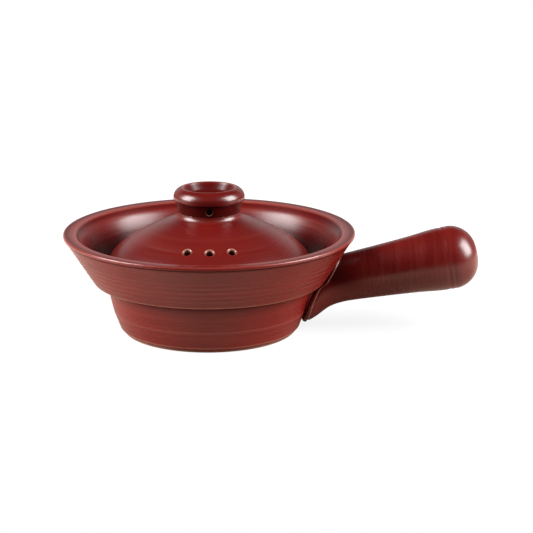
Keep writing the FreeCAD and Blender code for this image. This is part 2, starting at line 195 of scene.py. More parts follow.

# Colours of the glaze and the clay, and the glaze's gloss where it is clear and where shade is painted
GLAZE_RED = (0.150, 0.0066, 0.0048, 1.0)
GLAZE_DARK = (0.118, 0.0044, 0.0034, 1.0)
GLAZE_WARM = (0.185, 0.017, 0.008, 1.0)
# Black for specks, and the colour that painted shade darkens towards
SPECK_AND_SHADE_BLACK = (0.020, 0.0020, 0.0018, 1.0)
# Pale thin glaze on worn edges, which also serves as painted highlight lines
THIN_GLAZE_AND_HIGHLIGHT = (0.46, 0.20, 0.15, 1.0)
CLAY_PALE = (0.50, 0.34, 0.23, 1.0)
CLAY_DARK = (0.36, 0.22, 0.14, 1.0)
CLEAR_SHINE, SHADED_SHINE = 0.55, 0.06
GLAZE_INDEX, CLAY_ROUGHNESS = 1.5, 0.82
# How light the glaze is on the pot, the lid and the handle: one glaze, lightened on the pot and darkened on
# the lid and the handle as painted light and shade
POT_LIT_TONE, LID_SHADED_TONE, HANDLE_SHADED_TONE = 1.1, 0.74, 0.72

# How finely streaks and patches run along each axis, and how fine specks, grain and orange peel are
POT_SCALES = ((4, 4, 330), (10, 10, 70))
HANDLE_SCALES = ((260, 14, 14), (60, 22, 22))
SPECK_SCALE, GRAIN_SCALE, PEEL_SCALE = 900.0, 2600.0, 420.0
# The relief in the glaze's shading and in the bare clay's
WAVE_STRENGTH, WAVE_DEPTH = 0.05, 0.2 * MM
PEEL_STRENGTH, PEEL_DEPTH = 0.05, 0.1 * MM
PORE_STRENGTH, PORE_DEPTH = 0.6, 0.3 * MM

# The light, and the floor's colours as the glaze mirrors them
BACK_GLOW, ROOM_LIGHT = 0.52, 0.03
LEFT_POWER, RIGHT_POWER = 112, 110
# The azimuth and elevation of each softbox, in degrees
LEFT_PLACE, RIGHT_PLACE = (-82, 31), (81, 30)
LAMP_DISTANCE, LAMP_WIDTH, LAMP_HEIGHT = 2.2, 1.25, 1.5
FLOOR_NEAR = (0.40, 0.27, 0.21, 1.0)
FLOOR_SIDE = (0.84, 0.70, 0.60, 1.0)
FLOOR_FAR = (0.10, 0.08, 0.07, 1.0)
FLOOR_PLACE, FLOOR_SCALE = (0.05, 0.1, 0), (3.0, 0.9, 1)
PAPER_GLOW, PAPER_TONE = 0.86, 0.14
# The directions over which the glow rises at the back, ends at its top and starts at its foot
GLOW_BEHIND, GLOW_TOP, GLOW_FOOT = (0.45, 0.9), (0.55, 0.38), (-0.1, 0.1)
# From where to where the floor's tones change, in shares of its width and its length
FLOOR_BESIDE, FLOOR_NEAR_EDGE = (0.02, 0.09), (-0.40, -0.30)

# The camera: its lens in mm, its distance in metres, and its angles in radians
LENS, SENSOR_WIDTH, NEAR_CLIP = 121.52, 36, 0.05
CAMERA_DISTANCE, CAMERA_ELEVATION = 1.2561, 0.2959
CAMERA_PITCH, CAMERA_YAW = 0.2626, 0.0327


def smooth_step(share):
    """A share from 0 to 1 that starts and stops softly."""
    share = min(1.0, max(0.0, share))
    return share * share * (3 - 2 * share)


def fade(place, start, stop):
    """0 up to the start and 1 from the stop on, with a soft rise between; the start may be the higher."""
    return smooth_step((place - start) / (stop - start))


def bell(place, middle, width):
    """1 at the middle, and less to both sides."""
    return math.exp(-((place - middle) / width) ** 2)


def winding(place, turn, depth, pitch, starts=1, phase=0.0):
    """The relief of throwing rings that wind round as so many grooves side by side."""
    return depth * math.cos(FULL_TURN * place / pitch - starts * turn + phase)


def interpolate(table, place):
    """A smooth value between the (place, value) pairs of a table."""
    if place <= table[0][0]:
        return table[0][1]
    for index in range(len(table) - 1):
        (left, low), (right, high) = table[index], table[index + 1]
        if place <= right:
            slope = (high - low) / (right - left)
            before = table[max(index - 1, 0)]
            after = table[min(index + 2, len(table) - 1)]
            start = (high - before[1]) / (right - before[0]) if index else slope
            stop = (after[1] - low) / (after[0] - left) if index + 2 < len(table) else slope
            share = (place - left) / (right - left)
            width = right - left
            return (low * (1 + 2 * share) * (1 - share) ** 2 + start * width * share * (1 - share) ** 2
                    + high * share ** 2 * (3 - 2 * share) + stop * width * share ** 2 * (share - 1))
    return table[-1][1]


def oval(centre, wide, tall, first, last, count):
    """Points of an oval stretch of an outline, from one angle to another, in degrees."""
    points = []
    for step in range(count + 1):
        angle = math.radians(first + (last - first) * step / count)
        points.append(centre + Vector((wide * math.cos(angle), tall * math.sin(angle))))
    return points


def rounded(corners, steps=6):
    """An outline of (x, y, radius) corners with each corner rounded to its radius."""
    outline = []
    for index, (x, y, radius) in enumerate(corners):
        here = Vector((x, y))
        if radius <= 0 or index in (0, len(corners) - 1):
            outline.append(here)
            continue
        back = Vector(corners[index - 1][:2]) - here
        ahead = Vector(corners[index + 1][:2]) - here
        half = back.angle(ahead) / 2
        behind_share = 0.49 if corners[index - 1][2] > 0 else 0.98
        ahead_share = 0.49 if corners[index + 1][2] > 0 else 0.98
        reach = min(radius / math.tan(half), back.length * behind_share, ahead.length * ahead_share)
        radius = reach * math.tan(half)
        back.normalize()
        ahead.normalize()
        centre = here + (back + ahead).normalized() * (radius / math.sin(half))
        first = here + back * reach - centre
        last = here + ahead * reach - centre
        turn = math.atan2(first.x * last.y - first.y * last.x, first.dot(last))
        for step in range(steps + 1):
            angle = turn * step / steps
            cos, sin = math.cos(angle), math.sin(angle)
            outline.append(centre + Vector((first.x * cos - first.y * sin, first.x * sin + first.y * cos)))
    return outline


def finely(outline, spacing):
    """The same outline with its straight runs cut into steps no longer than the spacing at their middles."""
    fine = [outline[0]]
    for here, there in zip(outline, outline[1:]):
        run = (there - here).length
        if run < TINY:
            continue
        count = max(1, math.ceil(run / spacing(here.lerp(there, 0.5))))
        fine += [here.lerp(there, step / count) for step in range(1, count + 1)]
    return fine


def sharpness(before, here, after):
    """How strongly an outline bends outwards at a point: 0 on a straight run, 1 on a small rounded edge."""
    first, last = here - before, after - here
    bend = first.x * last.y - first.y * last.x
    length = (first.length + last.length) / 2
    if min(first.length, last.length) < TINY:
        return 0.0
    return min(1.0, max(0.0, bend / (first.length * last.length) / length * WORN_ROUND))


def lathe(outline, segments, relief, bare=None, skipped=(), shade=None, wear_and_highlight_scale=None):
    """A mesh turned about Z from (radius, height) points, with its rings of vertices.

    The relief moves each point out of the surface. bare gives how much of the glaze is missing, shade how
    dark the painted shade is, and wear_and_highlight_scale how worn an edge is and how pale its painted
    highlight line. A hole takes the (row, segment) faces in skipped.
    """
    bm = bmesh.new()
    wear_and_highlight_layer, bare_layer, shade_layer = [bm.verts.layers.float.new(name) for name in LAYERS]
    rings = []
    for index, point in enumerate(outline):
        before = outline[max(index - 1, 0)]
        after = outline[min(index + 1, len(outline) - 1)]
        along = (after - before).normalized()
        out = Vector((along.y, -along.x))
        wear_and_highlight = sharpness(before, point, after) * (wear_and_highlight_scale(point) if wear_and_highlight_scale else 1.0)
        ring = []
        for segment in range(segments if point.x > ON_AXIS else 1):
            angle = FULL_TURN * segment / segments
            shift = relief(point, angle) if point.x > ON_AXIS else 0.0
            radius = point.x + out.x * shift
            height = point.y + out.y * shift
            vertex = bm.verts.new((radius * math.cos(angle), radius * math.sin(angle), height))
            vertex[wear_and_highlight_layer] = wear_and_highlight
            vertex[bare_layer] = bare(point) if bare else 0.0
            vertex[shade_layer] = shade(point) if shade else 0.0
            ring.append(vertex)
        rings.append(ring)
    for row, (lower, upper) in enumerate(zip(rings, rings[1:])):
        for segment in range(segments):
            if (row, segment) in skipped:
                continue
            after = (segment + 1) % segments
            if len(lower) == 1:
                bm.faces.new((lower[0], upper[after], upper[segment]))
            elif len(upper) == 1:
                bm.faces.new((lower[segment], lower[after], upper[0]))
            else:
                bm.faces.new((lower[segment], lower[after], upper[after], upper[segment]))
    return bm, rings


def finish_mesh(name, bm):
    """An object with smooth faces from a mesh in the making."""
    bmesh.ops.recalc_face_normals(bm, faces=bm.faces)
    for face in bm.faces:
        face.smooth = True
    mesh = bpy.data.meshes.new(name)
    bm.to_mesh(mesh)
    bm.free()
    piece = bpy.data.objects.new(name, mesh)
    bpy.context.scene.collection.objects.link(piece)
    return piece


def nearest_row(outline, target, first, last):
    """The row of the outline that lies nearest to the target."""
    rows = range(first, last)
    return min(rows, key=lambda row: (outline[row] - target).length)


def block_faces(row, column, rows, columns, segments):
    """The faces of a lathe's grid around a hole."""
    across = [place % segments for place in range(column - columns, column + columns)]
    return {(place, segment) for place in range(row - rows, row + rows) for segment in across}


def block_edge(rings, row, column, rows, columns, segments):
    """The vertices round the grid faces that a hole takes."""
    corners = []
    for up in range(-rows, rows + 1):
        for along in range(-columns, columns + 1):
            if abs(up) == rows or abs(along) == columns:
                corners.append(rings[row + up][(column + along) % segments])
    return corners


def round_hole(centre, axis, vertices):
    """Vertices in order round a hole's axis, each with its direction from the axis."""
    along = axis.orthogonal().normalized()
    across = axis.cross(along)
    placed = []
    for vertex in vertices:
        offset = vertex.co - centre
        placed.append((math.atan2(offset.dot(across), offset.dot(along)), vertex))
    placed.sort(key=lambda pair: pair[0])
    ordered = [vertex for _, vertex in placed]
    directions = [along * math.cos(angle) + across * math.sin(angle) for angle, _ in placed]
    return ordered, directions


def bridge(bm, first, second):
    """A band of faces between two loops of as many vertices."""
    for index in range(len(first)):
        after = (index + 1) % len(first)
        bm.faces.new((first[index], first[after], second[after], second[index]))


def drill(bm, edge, centre, axis, rim, radius, surface, pale_side, far_edge=None, depth=0.0):
    """A hole with a rounded rim from the edge of a block of missing faces, down along its axis.

    surface puts a point onto the face that the hole starts in. The rim's glaze is thinnest on its pale side.
    The hole ends at far_edge, or else blind at a depth.
    """
    land = rim * VENT_LAND
    wear_and_highlight_layer, bare_layer, shade_layer = [bm.verts.layers.float[name] for name in LAYERS]
    ordered, directions = round_hole(centre, axis, edge)
    loops = [ordered]
    for share in VENT_RUN:
        loop = []
        for vertex, direction in zip(ordered, directions):
            rim_point = surface(centre + direction * land)
            between = bm.verts.new(rim_point.lerp(vertex.co, share))
            between[shade_layer] = vertex[shade_layer]
            loop.append(between)
        loops.append(loop)
    fall = rim - radius
    for step in range(1, VENT_STEPS + 1):
        angle = math.pi / 2 * step / VENT_STEPS
        reach = land - (land - radius) * math.sin(angle)
        sink = fall * VENT_SINK * (1 - math.cos(angle))
        loop = []
        for outer, direction in zip(ordered, directions):
            vertex = bm.verts.new(surface(centre + direction * reach) - axis * sink)
            pale = 0.5 + 0.5 * direction.dot(pale_side)
            vertex[shade_layer] = outer[shade_layer]
            vertex[wear_and_highlight_layer] = VENT_WEAR * pale
            vertex[bare_layer] = VENT_BARE * pale * pale * math.sin(math.pi * step / (VENT_STEPS + 1))
            loop.append(vertex)
        loops.append(loop)
    if far_edge:
        far_ordered, _ = round_hole(centre, axis, far_edge)
        far_centre = sum((vertex.co for vertex in far_ordered), Vector()) / len(far_ordered)
        drop = (centre - far_centre).dot(axis)
        loops.append([bm.verts.new(centre + direction * radius - axis * drop) for direction in directions])
        loops.append(far_ordered)
    else:
        loops.append([bm.verts.new(centre + direction * radius - axis * depth) for direction in directions])
    for first, second in zip(loops, loops[1:]):
        bridge(bm, first, second)
    if not far_edge:
        bm.faces.new(loops[-1])


def flare_radius(height):
    """The radius of the straight flare, which starts at the step, at a height."""
    lean = (FLARE_TOP_RADIUS - STEP_RADIUS) / (LIP_FOOT - LIP_SLOPE - STEP_HEIGHT)
    return STEP_RADIUS + (height - STEP_HEIGHT) * lean


def on_outer_wall(point):
    """Whether a point above the step belongs to the outside of the flare."""
    return point.x > flare_radius(point.y) - 2 * MM


def throwing_rings(point, angle):
    """Broad and fine rings that wind round both walls, and are strongest on the front of the flare."""
    height = point.y
    turn = angle + math.pi / 2
    if point.x < BASE_RADIUS or height > LIP_FOOT - 1.5 * MM:
        return 0.0
    if point.x < LEDGE_RADIUS + 4 * MM and height > STEP_HEIGHT:
        return 0.0
    if height > STEP_HEIGHT + 0.5 * MM:
        front = 0.5 - 0.5 * math.sin(angle - math.radians(20))
        band = fade(height, 38.5 * MM, 41.5 * MM) * fade(height, 58.5 * MM, 54.5 * MM)
        broad = winding(height - 53.1 * MM, turn, depth=band * (0.05 + 0.08 * front), pitch=3.68 * MM)
        faint = winding(height, turn, depth=0.014, pitch=1.9 * MM, starts=2, phase=0.8)
    else:
        band = fade(height, 4.5 * MM, 6.5 * MM) * fade(height, 34 * MM, 30 * MM)
        low = fade(height, 21 * MM, 15 * MM)
        broad = winding(height - 14.5 * MM, turn, depth=band * (0.02 + 0.035 * low), pitch=3.5 * MM)
        faint = winding(height, turn, depth=band * 0.012, pitch=2.1 * MM, starts=3)
    finest = winding(height, turn, depth=0.006, pitch=1.17 * MM, phase=1.7)
    return (broad + faint + finest) * MM


def pot_outline():
    """The pot's outline, from the middle of its base round to the middle of its floor."""
    return rounded([
        (0, 0, 0),
        (BASE_RADIUS, 0, BASE_ROUND),
        (FOOT_RADIUS, FOOT_HEIGHT, FOOT_ROUND),
        (BEND_RADIUS, BEND_HEIGHT, BEND_ROUND),
        (WALL_TOP_RADIUS, STEP_HEIGHT, STEP_CORNER_ROUND),
        (STEP_RADIUS, STEP_HEIGHT, STEP_EDGE_ROUND),
        (FLARE_TOP_RADIUS, LIP_FOOT - LIP_SLOPE, LIP_ROUND),
        (RIM_RADIUS, LIP_FOOT, LIP_ROUND),
        (RIM_RADIUS, POT_HEIGHT, RIM_OUTER_ROUND),
        (RIM_INNER_RADIUS, POT_HEIGHT - RIM_DROP, RIM_INNER_ROUND),
        (RIM_INNER_RADIUS - COVE_WIDTH, POT_HEIGHT - COVE_DEPTH, COVE_ROUND),
        (LEDGE_RADIUS, LEDGE_HEIGHT, LEDGE_ROUND),
        (MOUTH_RADIUS, LEDGE_HEIGHT, MOUTH_ROUND),
        (WELL_RADIUS, FLOOR_HEIGHT, FLOOR_ROUND),
        (0, FLOOR_HEIGHT, 0),
    ])


def pot_spacing(middle):
    """How long a step of the outline may be: short where the throwing rings run."""
    if middle.y > POT_HEIGHT - 3 * MM:
        return RIM_SPACING
    ringed = middle.x > BASE_RADIUS and 2 * MM < middle.y < 66 * MM
    above_step = middle.x < LEDGE_RADIUS + 14 * MM and middle.y > STEP_HEIGHT + 1 * MM
    inner = above_step and not on_outer_wall(middle)
    return RINGED_SPACING if ringed and not inner else PLAIN_SPACING


def pot_relief(point, angle):
    """Throwing rings on the outside, and a trace of them on the inside."""
    outer = point.y <= STEP_HEIGHT or on_outer_wall(point)
    past_floor = point.x < MOUTH_RADIUS + 0.1 * MM and point.y > FLOOR_HEIGHT - 0.1 * MM
    in_well = past_floor and (point.y > BEND_HEIGHT or point.x < WELL_RADIUS + 1 * MM)
    if in_well or not outer:
        return winding(point.y, angle, depth=0.004 * MM, pitch=2.3 * MM)
    return throwing_rings(point, angle)


def pot_bare(point):
    """Bare clay under the foot and where the lid rests."""
    foot = point.y < 0.5 * MM
    seat = abs(point.y - LEDGE_HEIGHT) < 0.1 * MM and point.x < LEDGE_RADIUS - 3 * MM
    return 1.0 if foot or seat else 0.0


def pot_shade(point):
    """Painted shade under the lip, down the inside and on the rim's outer half, and a painted shadow under
    the step.
    """
    if point.x > FLARE_TOP_RADIUS - 3 * MM and point.y < LIP_FOOT + 0.1 * MM:
        return UNDER_LIP_SHADE * bell(point.y, LIP_FOOT - 0.4 * MM, 1.0 * MM)
    inner_side = point.x < flare_radius(point.y) - 4 * MM
    if inner_side and LEDGE_HEIGHT + 0.5 * MM < point.y < POT_HEIGHT - 1.3 * MM:
        low = fade(point.y, POT_HEIGHT - 4 * MM, LEDGE_HEIGHT + 4 * MM)
        under_rim = UNDER_RIM_SHADE * bell(point.y, POT_HEIGHT - 1.5 * MM, 3 * MM)
        return max(under_rim, BOWL_SHADE + (BOWL_FOOT_SHADE - BOWL_SHADE) * low)
    if point.y > POT_HEIGHT - RIM_DROP and point.x < RIM_RADIUS - 1.0 * MM:
        return RIM_SHADE * fade(point.x, RIM_INNER_RADIUS + 1.5 * MM, RIM_INNER_RADIUS + 5.5 * MM)
    below_step = STEP_HEIGHT - point.y
    if below_step >= -0.2 * MM and BEND_RADIUS < point.x < STEP_RADIUS - 1.4 * MM:
        return UNDER_STEP_SHADE * math.exp(-max(0.0, below_step - 2.0 * MM) / (1.9 * MM))
    return 0.0


def pot_wear_and_highlight(point):
    """How worn an edge of the pot is, with a painted highlight line along it: the foot and the step most."""
    if point.y > POT_HEIGHT - 3 * MM and point.x < RIM_INNER_RADIUS + 2 * MM:
        return RIM_WEAR_AND_HIGHLIGHT
    return LOW_EDGE_WEAR_AND_HIGHLIGHT if point.y < STEP_HEIGHT + 5 * MM else HIGH_EDGE_WEAR


def make_pot():
    """The thrown pot: its foot, lower wall, step, flare, rim, ledge and well."""
    outline = finely(pot_outline(), pot_spacing)
    bm, _ = lathe(outline, POT_SEGMENTS, pot_relief, pot_bare, (), pot_shade, pot_wear_and_highlight)
    return finish_mesh("pot_shell", bm)


def dome_height(radius):
    """The height of the lid's top over the base at a radius."""
    return interpolate(DOME_PROFILE, radius / MM) * MM


def dome_fall(radius):
    """How steeply the dome falls outwards."""
    return (dome_height(radius - 0.5 * MM) - dome_height(radius + 0.5 * MM)) / MM


def onto_dome(point):
    """The point of the dome straight above or below."""
    return Vector((point.x, point.y, dome_height(math.hypot(point.x, point.y))))


def underside(radius, thickening):
    """The height of the lid's underside, where its wall is so many times as thick as at the top."""
    return dome_height(radius) - LID_WALL * thickening


def lid_outline():
    """The lid's outline, from the middle of its underside round its skirt and seat to its flat top."""
    skirt_radius = MOUTH_RADIUS - SKIRT_CLEARANCE
    inner_radius = skirt_radius - SKIRT_WALL
    under_top = underside(UNDER_FLAT_RADIUS + 2 * MM, FLAT_WALL)
    outline = rounded([
        (0, under_top, 0),
        (UNDER_FLAT_RADIUS, under_top, UNDER_FLAT_ROUND),
        (UNDER_BEND_RADIUS, underside(UNDER_BEND_RADIUS, BEND_WALL), UNDER_BEND_ROUND),
        (inner_radius, underside(inner_radius, SKIRT_TOP_WALL), SKIRT_TOP_ROUND),
        (inner_radius, SKIRT_FOOT, SKIRT_ROUND),
        (skirt_radius, SKIRT_FOOT, SKIRT_ROUND),
        (MOUTH_RADIUS - SEAT_CLEARANCE, LEDGE_HEIGHT, SEAT_ROUND),
        (LID_RADIUS, LEDGE_HEIGHT, LID_EDGE_ROUND),
        (LID_RADIUS, dome_height(LID_RADIUS), 0),
    ], 10)
    radius = LID_RADIUS - SHOULDER_STRIDE
    while radius > NECK_RADIUS + 7 * MM:
        outline.append(Vector((radius, dome_height(radius))))
        radius -= SHOULDER_STRIDE if radius > SHOULDER_START else DOME_STRIDE
    outline += rounded([
        (radius, dome_height(radius), 0),
        (NECK_RADIUS, dome_height(NECK_RADIUS), NECK_FILLET),
        (NECK_RADIUS, LID_TOP, 0),
        (0, LID_TOP, 0),
    ], 14)
    return finely(outline, lambda middle: LID_SPACING)


def lid_relief(point, angle):
    """The crease round the dome with a low ridge outside it, and a trace of throwing rings."""
    if point.y < dome_height(min(point.x, LID_RADIUS)) - 2 * MM or point.x < NECK_RADIUS + 5 * MM:
        return 0.0
    crease = -0.20 * bell(point.x, 52.0 * MM, 0.9 * MM)
    ridge = 0.08 * bell(point.x, 54.5 * MM, 1.6 * MM)
    return (crease + ridge + winding(point.x, angle, depth=0.005, pitch=2.6 * MM)) * MM


def lid_bare(point):
    """Bare clay on the seat."""
    return 1.0 if point.y < LEDGE_HEIGHT + 0.3 * MM and point.x > MOUTH_RADIUS - 1.6 * MM else 0.0


def make_lid():
    """The lid: a dome with three steam holes, on a skirt that drops into the mouth."""
    outline = lid_outline()
    widest = max(range(len(outline)), key=lambda row: outline[row].x)
    normal = Vector((dome_fall(VENT_RING), 1)).normalized()
    top = Vector((VENT_RING, dome_height(VENT_RING)))
    top_row = nearest_row(outline, top, widest, len(outline))
    under_row = nearest_row(outline, top - normal * LID_WALL, 0, widest)
    columns = [round(angle / FULL_TURN * LID_SEGMENTS) for angle in VENT_ANGLES]
    skipped = set()
    for column in columns:
        for row in (top_row, under_row):
            skipped |= block_faces(row, column, VENT_ROWS, VENT_COLUMNS, LID_SEGMENTS)
    bm, rings = lathe(outline, LID_SEGMENTS, lid_relief, lid_bare, skipped)
    uphill = Vector((0, 0.5, 1)).normalized()
    for angle, column in zip(VENT_ANGLES, columns):
        outward = Vector((math.cos(angle), math.sin(angle), 0))
        centre = outward * top.x + Vector((0, 0, top.y))
        axis = outward * normal.x + Vector((0, 0, normal.y))
        edge = block_edge(rings, top_row, column, VENT_ROWS, VENT_COLUMNS, LID_SEGMENTS)
        far_edge = block_edge(rings, under_row, column, VENT_ROWS, VENT_COLUMNS, LID_SEGMENTS)
        drill(bm, edge, centre, axis, VENT_RIM, VENT_RADIUS, onto_dome, uphill, far_edge)
    return finish_mesh("lid_dome", bm)


def knob_outline():
    """The knob's outline, from the lid up its neck and crown to the middle of its dish."""
    outline = rounded([
        (0, LID_TOP, 0),
        (NECK_RADIUS, LID_TOP, 0),
        (NECK_RADIUS + NECK_LEAN, LID_TOP + NECK_HEIGHT, NECK_ROUND),
        (NECK_RADIUS + NECK_LEAN + CROWN_FOOT_OUT, LID_TOP + NECK_HEIGHT + CROWN_FOOT_UP, 0),
    ], 6)
    outline += oval(CROWN_CENTRE, CROWN_WIDE, CROWN_TALL, CROWN_FIRST, CROWN_LAST, CROWN_STEPS)
    outline += rounded([
        (DISH_RADIUS + CROWN_TOP_OUT, KNOB_TOP - CROWN_TOP_DROP, 0),
        (DISH_RADIUS, KNOB_TOP - DISH_EDGE_DROP, DISH_EDGE_ROUND),
        (DISH_RADIUS - DISH_SIDE, KNOB_TOP - DISH_DEPTH, DISH_FLOOR_ROUND),
        (0, KNOB_TOP - DISH_DEPTH, 0),
    ], 12)
    return finely(outline, lambda middle: KNOB_SPACING)


def knob_relief(point, angle):
    """A trace of throwing rings."""
    return winding(point.y, angle, depth=0.004 * MM, pitch=1.7 * MM)


def knob_shade(point):
    """Painted shade in the dish and round the neck."""
    if point.y > LID_TOP + 10 * MM:
        return DISH_SHADE * fade(point.x, DISH_RADIUS, DISH_RADIUS - 1.5 * MM)
    return NECK_SHADE * fade(point.y, LID_TOP + 9.0 * MM, LID_TOP + 7.4 * MM)


def knob_wear_and_highlight(point):
    """The dish's edge is worn and carries a painted highlight line, and the crown isn't."""
    return DISH_WEAR_AND_HIGHLIGHT if point.x < DISH_RADIUS + 1 * MM else 0.0


def make_knob():
    """The knob: a crown with a dish in its top, on a neck with a small hole."""
    outline = knob_outline()
    target = Vector((NECK_RADIUS + NECK_LEAN / 2, LID_TOP + KNOB_VENT_HEIGHT))
    row = nearest_row(outline, target, 0, len(outline))
    column = round(0.75 * KNOB_SEGMENTS)
    skipped = block_faces(row, column, KNOB_VENT_ROWS, KNOB_VENT_COLUMNS, KNOB_SEGMENTS)
    bm, rings = lathe(outline, KNOB_SEGMENTS, knob_relief, None, skipped, knob_shade, knob_wear_and_highlight)
    lower, middle, upper = outline[row - 2], outline[row], outline[row + 2]
    lean = (upper.x - lower.x) / (upper.y - lower.y)

    def onto_neck(point):
        """The point of the neck straight ahead or behind."""
        radius = middle.x + (point.z - middle.y) * lean
        return Vector((point.x, -math.sqrt(max(radius ** 2 - point.x ** 2, 0)), point.z))

    edge = block_edge(rings, row, column, KNOB_VENT_ROWS, KNOB_VENT_COLUMNS, KNOB_SEGMENTS)
    centre = Vector((0, -middle.x, middle.y))
    outward, downward = Vector((0, -1, 0)), Vector((0, 0, -1))
    drill(bm, edge, centre, outward, KNOB_VENT_RIM, KNOB_VENT_RADIUS, onto_neck, downward,
          depth=KNOB_VENT_DEPTH)
    return finish_mesh("knob_crown", bm)


def grip_radius(reach):
    """The tube's radius, in mm, at a distance along it, in mm."""
    if reach <= BULB_REACH:
        return interpolate(GRIP_RADII, reach)
    over = min(1.0, (reach - BULB_REACH) / TIP_ROUND)
    return TIP_FLAT + TIP_ROUND * math.sqrt(max(0.0, 1 - over ** 2))


def handle_rings(reach, angle):
    """Faint throwing rings round the grip, and a stronger pair where the end was closed, in mm."""
    band = fade(reach, 16, 30) * fade(reach, 90, 74)
    wander = 0.5 + 0.5 * math.sin(angle * 2 + reach * 0.11)
    rings = winding(reach, angle, depth=0.025, pitch=3.3)
    rings += winding(reach, -angle, depth=0.01 * wander, pitch=2.1, starts=2)
    closing = 0.30 * bell(reach, 84.5, 1.0) + 0.22 * bell(reach, 88.4, 0.9)
    return band * rings - closing


def handle_point(reach, angle, ringed=True):
    """A point of the handle's surface, in metres: angle 0 is its top and 90 degrees its far side."""
    top = grip_radius(reach)
    bottom = max(top, interpolate(ROOT_DEPTHS, reach)) if reach < ROOT_REACH else top
    width = max(top, interpolate(ROOT_WIDTHS, reach)) if reach < ROOT_REACH else top
    ring = handle_rings(reach, angle) if ringed else 0.0
    low = smooth_step(ROOT_LOW_SHARE - (1 - ROOT_LOW_SHARE) * math.cos(angle))
    across = (top + (width - top) * low + ring) * math.sin(angle)
    up = (top - bottom) / 2 + ((top + bottom) / 2 + ring) * math.cos(angle)
    return GRIP_START + (GRIP_AXIS * reach + GRIP_UP * up + Vector((0, across, 0))) * MM


def handle_normal(reach, angle):
    """The direction straight out of the handle's surface."""
    step, turn = 0.05, 0.004
    along = handle_point(reach + step, angle, False) - handle_point(reach - step, angle, False)
    around = handle_point(reach, angle + turn, False) - handle_point(reach, angle - turn, False)
    return around.cross(along).normalized()


def wall_radius(height):
    """The radius of the pot's outside at a height."""
    if height > STEP_HEIGHT:
        return flare_radius(height)
    upper_lean = (WALL_TOP_RADIUS - BEND_RADIUS) / (STEP_HEIGHT - BEND_HEIGHT)
    lower_lean = (BEND_RADIUS - FOOT_RADIUS) / (BEND_HEIGHT - FOOT_HEIGHT)
    upper = WALL_TOP_RADIUS + (height - STEP_HEIGHT) * upper_lean
    lower = BEND_RADIUS + (height - BEND_HEIGHT) * lower_lean
    return min(upper, lower)


def root_radius(height):
    """The radius that the root is set against: the flare, carried on down with clay to the wall."""
    flare = flare_radius(height)
    if height > STEP_HEIGHT:
        return flare
    wall = wall_radius(height)
    over = (flare - wall) * (1 - FILL_LOSS * fade(height, STEP_HEIGHT, STEP_HEIGHT - FILL_HEIGHT))
    return wall + (over + math.hypot(over, STEP_SOFTNESS)) / 2 - STEP_SOFTNESS * STEP_SOFT_SHARE


def root_distance(point):
    """About how far a point is from what the root is set against, and the direction away from it."""
    step = 0.1 * MM
    lean = (root_radius(point.z + step) - root_radius(point.z - step)) / (2 * step)
    radius = math.hypot(point.x, point.y)
    scale = 1 / math.hypot(1, lean)
    away = Vector((point.x / radius, point.y / radius, -lean)) * scale
    return (radius - root_radius(point.z)) * scale, away


def luting_reach(angle):
    """Where along the handle a ball that rolls in the corner between it and the pot touches both."""

    def gap(reach):
        """How far the ball is off the pot where it touches the handle at a reach."""
        centre = handle_point(reach, angle, False) + handle_normal(reach, angle) * LUTING_ROUND
        return root_distance(centre)[0] - LUTING_ROUND

    reach = LUTING_START
    while gap(reach) > 0 and reach > LUTING_LIMIT:
        reach -= LUTING_STRIDE
    low, high = reach, reach + LUTING_STRIDE
    for _ in range(LUTING_HALVINGS):
        middle = (low + high) / 2
        if gap(middle) > 0:
            high = middle
        else:
            low = middle
    return (low + high) / 2


def luting_foot(foot, away):
    """Points from inside the pot's wall up to the rounded corner, over the clay that fills the step."""
    radius = math.hypot(foot.x, foot.y)
    depth = max(0.0, radius - wall_radius(foot.z))
    side = math.atan2(foot.y, foot.x)
    spread = 0.0
    if abs(side) > SPREAD_ANGLE_LEAST:
        spread = math.copysign(min(FOOT_SPREAD * depth, FOOT_SPREAD_MOST) / radius, side)
    points = []
    for step in range(FOOT_STEPS + 1):
        share = 1 - step / FOOT_STEPS
        quarter = share * math.pi / 2
        sunk = radius - depth * math.sin(quarter) - share * FOOT_SINK
        turned = side + spread * (1 - math.cos(quarter))
        points.append(Vector((sunk * math.cos(turned), sunk * math.sin(turned), foot.z)) - away * LUTING_SINK)
    first = points[0]
    return [first - Vector((first.x, first.y, 0)).normalized() * FOOT_END] + points[:-1]


def luting_corner(angle, start):
    """Points over the clay between the pot and the handle, up to the handle's own surface."""
    normal = handle_normal(start, angle)
    ball = handle_point(start, angle, False) + normal * LUTING_ROUND
    away = root_distance(ball)[1]
    turn = math.acos(max(-1.0, min(1.0, normal.dot(away))))
    points = luting_foot(ball - away * LUTING_ROUND, away)
    for step in range(LUTING_STEPS + 1):
        share = step / LUTING_STEPS
        blend = away * math.sin((1 - share) * turn) + normal * math.sin(share * turn)
        points.append(ball - blend.normalized() * (LUTING_ROUND + LUTING_SINK * (1 - share)))
    return points


def grip_reaches():
    """Where along the handle its rings of vertices lie, from the end of the luting clay to its tip."""
    reaches = []
    reach = LUTING_START
    while reach < BULB_REACH:
        reaches.append(reach)
        reach += GRIP_STRIDE
    for step in range(TIP_STEPS + 1):
        reaches.append(BULB_REACH + TIP_ROUND * math.sin(math.pi / 2 * step / TIP_STEPS))
    return reaches


def handle_column(angle, reaches):
    """Points along the handle at one angle, each with how much it belongs to the ridge of luting clay, which
    carries a painted highlight line.
    """
    start = luting_reach(angle)
    column = [(point, 0.0) for point in luting_corner(angle, start)]
    for row in range(1, LUTING_ROWS):
        reach = start + (LUTING_START - start) * row / LUTING_ROWS
        ridge = bell(reach, start + BEAD_REACH, BEAD_WIDTH)
        raised = handle_normal(reach, angle) * LUTING_BEAD * ridge
        column.append((handle_point(reach, angle) + raised, ridge))
    return column + [(handle_point(reach, angle), 0.0) for reach in reaches]


